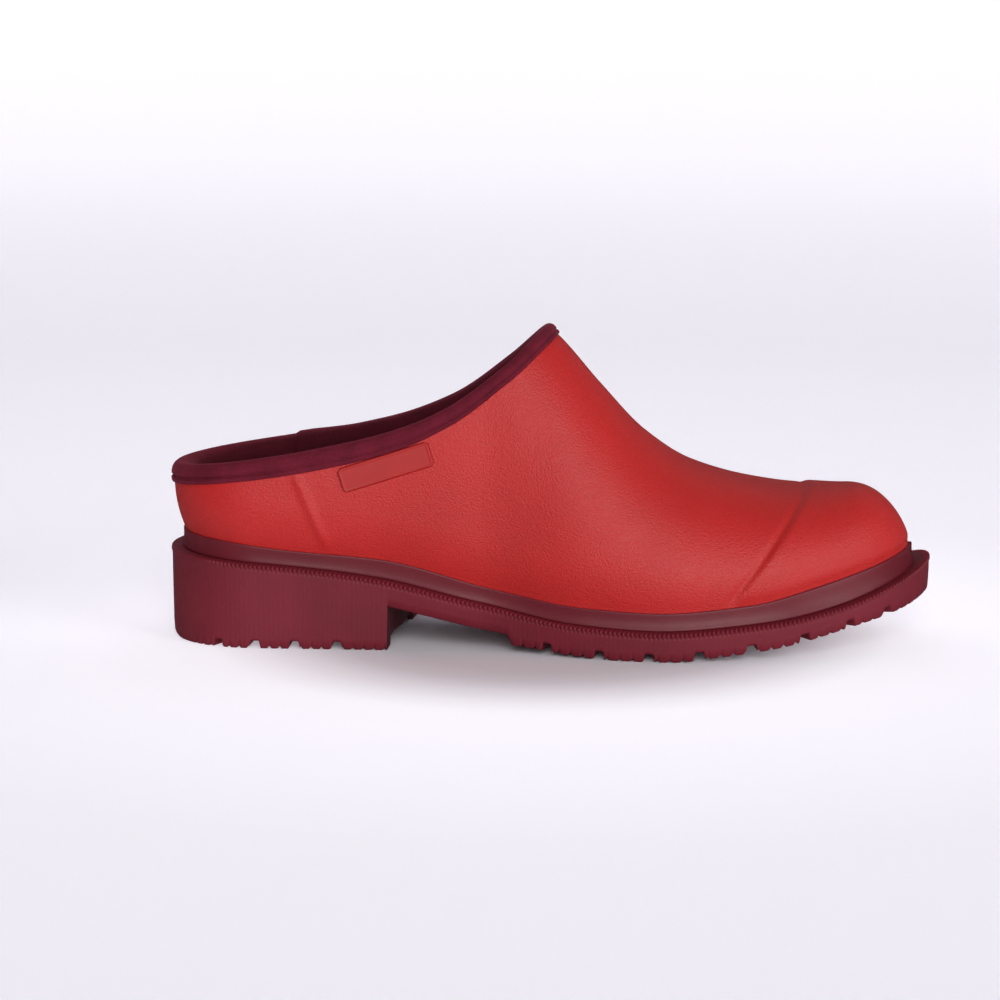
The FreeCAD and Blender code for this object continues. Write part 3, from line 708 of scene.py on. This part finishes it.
def build_foxing():
    bm = bmesh.new()
    for side in (-1, 1):
        mapped_grid(bm, 260, len(FOXING_SECTION), lambda u, w: foxing_spot(u, w, side))
    closed_up(bm)
    finish = smooth_rubber("calendered_foxing_rubber", bpy.context.scene.clog_colours.foxing, (0.38, 0.5))
    piece_from(bm, "foxing_band", finish, "clog", ["foxing_strip"])


LABEL_LENGTH, LABEL_HEIGHT, LABEL_FRONT, LABEL_DROP = 34.5, 9.2, -40.0, 6.2
LABEL_CORNER, LABEL_THICK = 1.9, 0.82
LIP_HEIGHT, LIP_IN, LIP_WIDTH = 0.16, 0.7, 0.35     # the thin raised line just inside its edge
LABEL_SINK = 0.12                                   # how deep its edge lies in the skin


def label_spot(u, w):
    """A point of the raised label: a plate with rounded corners and a softened edge."""
    a, b = 2 * u - 1, 2 * w - 1
    corner = LABEL_CORNER / (LABEL_HEIGHT / 2)
    inner = max(abs(b) - (1 - corner), 0) / corner
    reach = 1 - (1 - math.sqrt(max(1 - inner * inner, 0))) * LABEL_CORNER / (LABEL_LENGTH / 2)
    to_edge = min(LABEL_LENGTH / 2 * (1 - abs(a)), LABEL_HEIGHT / 2 * (1 - abs(b)))
    middle_x = LABEL_FRONT - LABEL_LENGTH / 2
    slope = (mouth_z(LABEL_FRONT) - mouth_z(LABEL_FRONT - LABEL_LENGTH)) / LABEL_LENGTH
    tilt = math.atan(slope)
    right, up = a * reach * LABEL_LENGTH / 2, b * LABEL_HEIGHT / 2
    x = middle_x + right * math.cos(tilt) - up * math.sin(tilt)
    z = mouth_z(middle_x) - LABEL_DROP - LABEL_HEIGHT / 2 + right * math.sin(tilt) + up * math.cos(tilt)
    lip = LIP_HEIGHT * math.exp(-((to_edge - LIP_IN) / LIP_WIDTH) ** 2)
    height = LABEL_THICK * smooth_step(to_edge, -0.15, 0.45) + lip - LABEL_SINK
    return last_layer(share_at(x), turn_at(x, z), height)


def build_label():
    bm = bmesh.new()
    mapped_grid(bm, 132, 44, label_spot)
    bm.normal_update()
    if sum(face.normal.y for face in bm.faces) > 0:
        bmesh.ops.reverse_faces(bm, faces=bm.faces)
    finish = smooth_rubber("satin_label_rubber", linear("#A8221F"), (0.42, 0.5))
    piece = piece_from(bm, "label_plate", finish, "clog", ["side_label"])
    thicken(piece, 0.5 * MM)


# ---------------------------------------------------------------- the sole
RECESS = 3.0                # depth of the tread between its lugs
BREAST_OUTER, BREAST_INNER, RAMP_X = -57.0, -51.5, -14.0
HEEL_NOTCHES = (-119.0, -105.0, -90.6, -75.1)
FRONT_NOTCHES = (0.9, 19.7, 37.5, 55.5, 74.0, 92.8, 109.4, 123.1)
NOTCH_WIDTH, NOTCH_SLOPE = 3.6, 0.45
SMALL_PITCH = {"heel": 3.8, "front": 4.5}   # the small cuts between the notches
SMALL_DEPTH = 0.95
HEEL_COLUMNS = 0.28         # share of the columns that lie behind the heel breast
BREAST_STEP = 0.3           # length of outline that the breast's wall takes


class SoleSide:
    """One side of the sole's outline, walked by its length from heel to toe."""

    def __init__(self, side, samples=2400):
        self.side = side
        self.shares, self.runs = [0.0], [0.0]
        before = plan_point(0, side, *SOLE_PLAN)
        for i in range(1, samples + 1):
            spot = plan_point(i / samples, side, *SOLE_PLAN)
            self.shares.append(i / samples)
            self.runs.append(self.runs[-1] + (spot - before).length)
            before = spot
        self.total = self.runs[-1]

    def share_for(self, run):
        low, high = 0, len(self.runs) - 1
        while high - low > 1:
            middle = (low + high) // 2
            if self.runs[middle] <= run:
                low = middle
            else:
                high = middle
        part = (run - self.runs[low]) / (self.runs[high] - self.runs[low])
        return self.shares[low] + (self.shares[high] - self.shares[low]) * min(max(part, 0.0), 1.0)

    def run_at(self, x):
        share = share_at(x, -HALF, HALF)
        return self.runs[min(round(share * (len(self.runs) - 1)), len(self.runs) - 1)]


def tread_z(x, breast):
    """Height of the tread's lowest face at x."""
    if x < breast:
        return 2.4 * smooth_step(-x, 134, 142)
    if x < RAMP_X:
        return waist_z(x)
    ramp = waist_z(RAMP_X) - front_tread_z(RAMP_X)
    return front_tread_z(x) + ramp * (1 - smooth_step(x, RAMP_X, RAMP_X + 3))


def serration(along, pitch, depth):
    """Small round-bottomed cuts at an even pitch."""
    return depth * max(math.cos(2 * math.pi * along / pitch), 0.0) ** 2.2


def notch_height(x, run, centres, breast):
    """How far the tread's edge is cut away at a place on the outline."""
    if breast <= x < RAMP_X + 4 or x < -128:
        return 0.0
    part = "heel" if x < breast else "front"
    nearest = min(abs(run - centre) for centre in centres[part])
    open_share = 1 - smooth_step(nearest, NOTCH_WIDTH / 2 - NOTCH_SLOPE, NOTCH_WIDTH / 2 + NOTCH_SLOPE)
    return max(sizes().notch_depth / MM * open_share, serration(run, SMALL_PITCH[part], SMALL_DEPTH))


# wall of the sole from the tread's middle round to the top's middle: inset, level, base level, tooth share
# base level: f floor of the recess, t tread, g grip top, m midway up, r rim
WALL_SECTION = [
    (None, 0.0, "f", 0), (22.0, 0.0, "f", 0), (11.8, 0.0, "f", 0), (11.2, 0.0, "t", 0), (6.0, 0.0, "t", 0),
    (1.1, 0.0, "t", 0), (0.5, 0.4, "t", 0), (0.3, 3.4, "g", 0), (0.28, 4.2, "g", 0), (0.2, 0.45, "m", 0),
    (0.16, -2.6, "r", 0), (0.16, -1.75, "r", 0), (0.02, -1.55, "r", 0.7), (-0.12, -1.4, "r", 1),
    (-0.12, -0.6, "r", 1), (-0.02, -0.2, "r", 1), (0.3, 0.0, "r", 0.9), (1.0, 0.0, "r", 0.3),
    (3.0, 0.0, "r", 0), (14.0, -0.1, "r", 0), (None, -0.1, "r", 0),
]
NOSE_HEEL, NOSE_TOE = 26, 30    # how far short of the ends the middle rows stop
SIDE_OF_BREAST = 0.01
SOLE_COLUMNS = 1400
GRIP_UNDER_RIM = 3.6


def sole_half(bm, side, other, columns):
    """Adds one side of the sole."""
    edge = SoleSide(side)
    opposite = SoleSide(other)
    breast, far_breast = (BREAST_OUTER, BREAST_INNER) if side < 0 else (BREAST_INNER, BREAST_OUTER)
    centres = {
        "heel": [edge.run_at(x) for x in HEEL_NOTCHES],
        "front": [edge.run_at(x) for x in FRONT_NOTCHES],
    }
    rear = round(columns * HEEL_COLUMNS)

    def run_of(walk, u, breast_x):
        """Even steps along the outline, with one short step over the heel breast."""
        start = walk.run_at(breast_x)
        i = round(u * columns)
        if i <= rear:
            return start * i / rear
        ahead = walk.total - start - BREAST_STEP
        return start + BREAST_STEP + ahead * (i - rear - 1) / (columns - rear - 1)

    rows = len(WALL_SECTION) - 1
    teeth = round(edge.total / (sizes().tooth_pitch / MM))
    depth = sizes().tooth_depth / MM

    def place(u, w):
        inset, level, base, tooth = WALL_SECTION[round(w * rows)]
        run = run_of(edge, u, breast)
        share = edge.share_for(run)
        flat = plan_point(share, side, *SOLE_PLAN)
        cut_in = 0.0
        if inset is None:
            other_x = plan_point(opposite.share_for(run_of(opposite, u, far_breast)), other, *SOLE_PLAN).x
            x = min(max((flat.x + other_x) / 2, -HALF + NOSE_HEEL), HALF - NOSE_TOE)
            flat = Vector((x, sole_mid(x), 0))
            spot_breast = (breast + far_breast) / 2
        else:
            groove = 0.5 - 0.5 * math.cos(2 * math.pi * run / edge.total * teeth)
            cut_in = depth * tooth * groove ** 1.5 * smooth_step(flat.x, -126, -110)
            flat -= plan_normal(share, side, *SOLE_PLAN) * (inset + cut_in)
            x = flat.x
            spot_breast = breast
        if round(u * columns) > rear:
            x = max(x, spot_breast + SIDE_OF_BREAST)
        else:
            x = min(x, spot_breast - SIDE_OF_BREAST)
        tread = tread_z(x, spot_breast)
        recess = RECESS * (1 if x < spot_breast else smooth_step(x, RAMP_X, RAMP_X + 5))
        cut = notch_height(x, run, centres, spot_breast)
        rim = ledge_z(flat.x)
        heights = {
            "f": tread + recess,
            "t": tread + cut,
            "g": tread + max(level, cut + 0.4) - level,
            "m": (tread + rim) / 2,
            "r": rim,
        }
        z = heights[base] + level
        if base == "r" and level > -0.5:
            z -= cut_in
        if base == "g":
            z = min(z, rim - GRIP_UNDER_RIM)
        return Vector((flat.x, flat.y, z))

    def flow(u, w):
        return run_of(edge, u, breast) * MM * side, w * 0.05

    mapped_grid(bm, columns, rows, place, flow)


def build_outsole():
    bm = bmesh.new()
    for side in (-1, 1):
        sole_half(bm, side, -side, SOLE_COLUMNS)
    closed_up(bm, 0.00001)
    finish = smooth_rubber("moulded_sole_rubber", bpy.context.scene.clog_colours.sole, (0.48, 0.62), 0.9)
    piece_from(bm, "notched_outsole", finish, "clog", ["outsole"])
    return finish


LUG_AHEAD, HEEL_LUG_LONG = 7.2, 9.5     # a heel bar's place ahead of its notch, and its length
LUG_SHARE = 0.62            # a front bar's share of the way between two notches
LUG_MARGIN = 16.5           # from the sole's edge to the bars' outer ends, with the gap between a pair
LUG_SHORTER, LUG_GAP = 2.0, 1.2
LUG_HIGH = RECESS + 0.8     # its top is sunk in the recess's floor
LUG_LIFT = 0.3              # keeps the bars' ends off the floor where the tread curves
LUG_TURN = 9                # degrees that a bar is turned
LUG_BEVEL = 0.6


def build_tread_lugs(finish):
    """Closed rubber bars over the recess of the tread, in pairs between the notches."""
    bm = bmesh.new()
    stations = [(x + LUG_AHEAD, HEEL_LUG_LONG) for x in HEEL_NOTCHES[:-1]]
    stations += [((a + b) / 2, (b - a) * LUG_SHARE) for a, b in zip(FRONT_NOTCHES, FRONT_NOTCHES[1:])]
    for x, long in stations:
        ends = rounding(x + HALF, HEEL_ROUND, HEEL_POWER) * rounding(HALF - x, TOE_ROUND, TOE_POWER)
        half = sole_side(x) * ends - LUG_MARGIN
        tread = tread_z(x, BREAST_OUTER)
        slope = tread_z(x + 1, BREAST_OUTER) - tread
        for side in (-1, 1):
            block = bmesh.ops.create_cube(bm, size=1.0)["verts"]
            size = Vector((long, half - LUG_SHORTER, LUG_HIGH))
            bmesh.ops.scale(bm, vec=size * MM, verts=block)
            edges = {edge for corner in block for edge in corner.link_edges}
            turn = math.radians(LUG_TURN * side * (1 if x > 0 else -1))
            for corner in block:
                back, across, up = corner.co
                corner.co = Vector((back + across * math.tan(turn), across, up + back * slope))
            place = Vector((x, sole_mid(x) + side * (half / 2 + LUG_GAP), tread + LUG_HIGH / 2 + LUG_LIFT))
            bmesh.ops.translate(bm, vec=place * MM, verts=block)
            bmesh.ops.bevel(bm, geom=list(edges), offset=LUG_BEVEL * MM, segments=2, affect="EDGES",
                            profile=0.5, material=-1, clamp_overlap=True)
    bmesh.ops.recalc_face_normals(bm, faces=bm.faces)
    piece_from(bm, "tread_lugs", finish, "clog")


# ---------------------------------------------------------------- the loose footbed
FOOT_LOW, FOOT_HIGH = 5.3, 10.6     # its levels above the rim
FOOT_INSET, TOE_INSET = 11.9, 1.8   # how far it lies inside the sole's edge, and how much further at the toe
FOOT_HEEL_END, FOOT_TOE_END = 30, 34
CUP_HEIGHT = 1.2                    # rise of its edge round the heel
# its section, from the middle of the underside round the edge to the middle of the top: share out, level
FOOT_SECTION = [
    (0.0, 0.0), (0.5, 0.0), (0.93, 0.0), (0.985, 0.25), (1.0, 0.55), (0.985, 0.85), (0.94, 0.97),
    (0.8, 1.0), (0.6, 1.0), (0.4, 1.0), (0.2, 1.0), (0.0, 1.0),
]
FOOT_COLUMNS = 90
FOOT_LONG, FOOT_ROUND = 0.27, 0.045     # metres along it and round its section, for the weave


def footbed_spot(u, w, side):
    """A point of the footbed: u from heel to toe, w round its section."""
    flat = plan_point(u, side, *SOLE_PLAN)
    inset = FOOT_INSET + TOE_INSET * smooth_step(flat.x, 60, 130)
    reach, level = FOOT_SECTION[round(w * (len(FOOT_SECTION) - 1))]
    edge = flat - plan_normal(u, side, *SOLE_PLAN) * inset
    x = min(max(flat.x, -HALF + FOOT_HEEL_END), HALF - FOOT_TOE_END)
    spot = Vector((x, sole_mid(x), 0)).lerp(edge, reach)
    on_top = level > 0.9
    crown = sizes().footbed_crown / MM * (0.35 - reach * reach) * on_top
    cup = CUP_HEIGHT * smooth_step(reach, 0.55, 0.95) * (1 - smooth_step(spot.x, -90, -40)) * on_top
    low, high = ledge_z(spot.x) + FOOT_LOW, ledge_z(spot.x) + FOOT_HIGH
    return Vector((spot.x, spot.y, low + (high - low) * level + crown + cup))


def build_footbed():
    bm = bmesh.new()
    for side in (-1, 1):
        mapped_grid(bm, FOOT_COLUMNS, len(FOOT_SECTION) - 1, lambda u, w: footbed_spot(u, w, side),
                    lambda u, w: (u * FOOT_LONG * side, w * FOOT_ROUND))
    closed_up(bm)
    finish = knit_cloth("brushed_footbed_cloth", bpy.context.scene.clog_colours.lining, 1.0, 0.3)
    piece = piece_from(bm, "footbed_cushion", finish, "footbed",
                       ["footbed_cover", "footbed_foam"])


# ---------------------------------------------------------------- the pieces kept from the frame
HIDDEN_STUFF = {
    "toe_puff": ("stiffener_sheet", "#C9C2B4", 0.6, 1.5, 0.05, 0.0),
    "heel_counter": ("stiffener_sheet", "#C9C2B4", 0.6, 1.5, 0.05, 0.0),
    "midsole": ("closed_cell_foam", "#4A4A4C", 0.85, 0.8, 0.12, 0.0),
    "heel_core": ("moulded_plastic", "#232325", 0.45, 3.0, 0.03, 0.0),
    "shank": ("cold_rolled_steel", "#9A9DA2", 0.32, 0.5, 0.02, 1.0),
    "bottom_filler": ("pressed_cork", "#A67C52", 0.9, 1.8, 0.3, 0.0),
    "insole_board": ("fibre_board", "#BFA27E", 0.88, 0.9, 0.1, 0.0),
}


def dress_hidden():
    for node, (name, base, roughness, grain, depth, metallic) in HIDDEN_STUFF.items():
        finish = plain_stuff(f"{name}_{node}", base, roughness, grain, depth, metallic)
        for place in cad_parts[node].material_slots:
            place.material = finish


# ---------------------------------------------------------------- stage
AIM = Vector((-0.018, 0.0, 0.050))
CAMERA_AWAY, CAMERA_UP, CAMERA_ROUND = 1.0, 9.5, 3.5    # metres, then degrees up and round from the side
LENS, SENSOR = 97.6, 36
SWEEP_FRONT, SWEEP_BACK, SWEEP_BEND, SWEEP_HALF, SWEEP_TOP = -30.0, 2.6, 1.4, 20.0, 6
BEND_STEPS = 12
# WALL_GLOW, FLOOR_GLOW and NEAR_GLOW are painted light: the paper's own glow on the wall, on the floor and
# just round the clog
WALL_GLOW, FLOOR_GLOW, NEAR_GLOW, SKY_GLOW = 0.1, 0.36, 0.52, 0.06
GLOW_SCALE = 0.25           # place on the glow's ramp one metre from the clog, past which it stays even
SUNS = {
    "key_box": ((0.1, -1.0, 0.45), 34, 1.8),
    "toe_box": ((1.0, -0.7, 0.3), 30, 1.1),
    "top_box": ((-0.1, 0.3, 1.0), 100, 0.3),
}


def soft_sun(name, towards_light, angle, strength):
    """A far, wide soft box: even over the whole floor, with a soft-edged shadow."""
    light = bpy.data.lights.new(name, "SUN")
    light.angle, light.energy = math.radians(angle), strength
    item = bpy.data.objects.new(name, light)
    item.rotation_euler = Vector(towards_light).to_track_quat("Z", "Y").to_euler()
    bpy.context.scene.collection.objects.link(item)


def build_sweep():
    """A paper sweep: floor, a wide bend, and a wall far behind, with painted light glowing from it."""
    bm = bmesh.new()
    profile = [Vector((-SWEEP_HALF, SWEEP_FRONT, 0)), Vector((-SWEEP_HALF, SWEEP_BACK, 0))]
    for step in range(1, BEND_STEPS + 1):
        angle = math.pi / 2 * step / BEND_STEPS
        along, up = SWEEP_BEND * math.sin(angle), SWEEP_BEND * (1 - math.cos(angle))
        profile.append(Vector((-SWEEP_HALF, SWEEP_BACK + along, up)))
    profile.append(Vector((-SWEEP_HALF, SWEEP_BACK + SWEEP_BEND, SWEEP_TOP)))
    corners = [bm.verts.new(spot) for spot in profile]
    edges = [bm.edges.new(pair) for pair in zip(corners, corners[1:])]
    wide = bmesh.ops.extrude_edge_only(bm, edges=edges)["geom"]
    moved = [item for item in wide if isinstance(item, bmesh.types.BMVert)]
    bmesh.ops.translate(bm, vec=(2 * SWEEP_HALF, 0, 0), verts=moved)
    mesh = bpy.data.meshes.new("paper_sweep")
    bm.to_mesh(mesh)
    bm.free()
    mesh.polygons.foreach_set("use_smooth", [True] * len(mesh.polygons))
    sweep = bpy.data.objects.new("paper_sweep", mesh)
    bpy.context.scene.collection.objects.link(sweep)
    paper, tree, shader = new_finish("studio_paper")
    shader.inputs["Base Color"].default_value = (*linear("#E8E6EC"), 1)
    shader.inputs["Roughness"].default_value = 0.95
    shader.inputs["Specular IOR Level"].default_value = 0.0
    shader.inputs["Emission Color"].default_value = (*linear("#F6F3FB"), 1)
    away = add_node(tree, "ShaderNodeVectorMath", {"operation": "LENGTH"}, None, {0: place_of(tree)})
    # painted light: the paper glows, not at all under the clog, brightest just round it, fading towards the
    # wall
    glow = ramp_of(tree, range_of(tree, away.outputs["Value"], 0.0, GLOW_SCALE), [
        (0.018, (0, 0, 0, 1)), (0.03, grey(NEAR_GLOW)), (0.07, grey(FLOOR_GLOW)), (0.5, grey(WALL_GLOW)),
    ])
    tree.links.new(glow, shader.inputs["Emission Strength"])
    sweep.visible_glossy = False
    mesh.materials.append(paper)


def build_stage():
    build_sweep()
    world = bpy.context.scene.world or bpy.data.worlds.new("studio")
    bpy.context.scene.world = world
    world.use_nodes = True
    backdrop = world.node_tree.nodes["Background"]
    backdrop.inputs["Color"].default_value = (*linear("#F7F4FA"), 1)
    backdrop.inputs["Strength"].default_value = SKY_GLOW
    bpy.context.scene.view_settings.view_transform = "Standard"
    for name, (towards, angle, strength) in SUNS.items():
        soft_sun(name, towards, angle, strength)

    camera = bpy.data.cameras.new("camera")
    camera.lens, camera.sensor_width = LENS, SENSOR
    item = bpy.data.objects.new("camera", camera)
    around, up = math.radians(CAMERA_ROUND), math.radians(CAMERA_UP)
    away = Vector((math.sin(around) * math.cos(up), -math.cos(around) * math.cos(up), math.sin(up)))
    item.location = AIM + away * CAMERA_AWAY
    item.rotation_euler = (-away).to_track_quat("-Z", "Y").to_euler()
    bpy.context.scene.collection.objects.link(item)
    bpy.context.scene.camera = item


# ---------------------------------------------------------------- operators
class CLOG_OT_upper(bpy.types.Operator):
    """Build the rubber upper"""

    bl_idname = "clog.upper"
    bl_label = "Upper"

    def execute(self, context):
        build_upper()
        return {"FINISHED"}


class CLOG_OT_lining(bpy.types.Operator):
    """Build the knit lining"""

    bl_idname = "clog.lining"
    bl_label = "Lining"

    def execute(self, context):
        build_lining()
        return {"FINISHED"}


class CLOG_OT_binding(bpy.types.Operator):
    """Build the folded binding round the mouth"""

    bl_idname = "clog.binding"
    bl_label = "Binding"

    def execute(self, context):
        build_binding()
        return {"FINISHED"}


class CLOG_OT_foxing(bpy.types.Operator):
    """Build the foxing strip and the label"""

    bl_idname = "clog.foxing"
    bl_label = "Foxing and label"

    def execute(self, context):
        build_foxing()
        build_label()
        return {"FINISHED"}


class CLOG_OT_sole(bpy.types.Operator):
    """Build the notched sole and its lugs"""

    bl_idname = "clog.sole"
    bl_label = "Sole"

    def execute(self, context):
        build_tread_lugs(build_outsole())
        return {"FINISHED"}


class CLOG_OT_footbed(bpy.types.Operator):
    """Build the loose footbed"""

    bl_idname = "clog.footbed"
    bl_label = "Footbed"

    def execute(self, context):
        build_footbed()
        return {"FINISHED"}


class CLOG_OT_hidden(bpy.types.Operator):
    """Give the pieces kept from the frame their finishes"""

    bl_idname = "clog.hidden"
    bl_label = "Hidden pieces"

    def execute(self, context):
        dress_hidden()
        return {"FINISHED"}


class CLOG_OT_stage(bpy.types.Operator):
    """Set the floor, the light and the camera"""

    bl_idname = "clog.stage"
    bl_label = "Stage"

    def execute(self, context):
        build_stage()
        return {"FINISHED"}


OPERATORS = (CLOG_OT_upper, CLOG_OT_lining, CLOG_OT_binding, CLOG_OT_foxing, CLOG_OT_sole, CLOG_OT_footbed,
             CLOG_OT_hidden, CLOG_OT_stage)


class CLOG_PT_panel(bpy.types.Panel):
    """Lists the pieces, sizes and colours"""

    bl_idname = "CLOG_PT_panel"
    bl_label = "Garden clog"
    bl_space_type = "VIEW_3D"
    bl_region_type = "UI"
    bl_category = "Clog"

    def draw(self, context):
        for group in (context.scene.clog_sizes, context.scene.clog_colours):
            for name in group.__annotations__:
                self.layout.prop(group, name)
        for operator in OPERATORS:
            self.layout.operator(operator.bl_idname)


CLASSES = (ClogSizes, ClogColours, *OPERATORS, CLOG_PT_panel)


def register():
    for cls in CLASSES:
        bpy.utils.register_class(cls)
    bpy.types.Scene.clog_sizes = PointerProperty(type=ClogSizes)
    bpy.types.Scene.clog_colours = PointerProperty(type=ClogColours)


def unregister():
    del bpy.types.Scene.clog_colours
    del bpy.types.Scene.clog_sizes
    for cls in reversed(CLASSES):
        bpy.utils.unregister_class(cls)


def main():
    register()
    for operator in OPERATORS:
        group, name = operator.bl_idname.split(".")
        getattr(getattr(bpy.ops, group), name)()


if __name__ == "__main__":
    main()
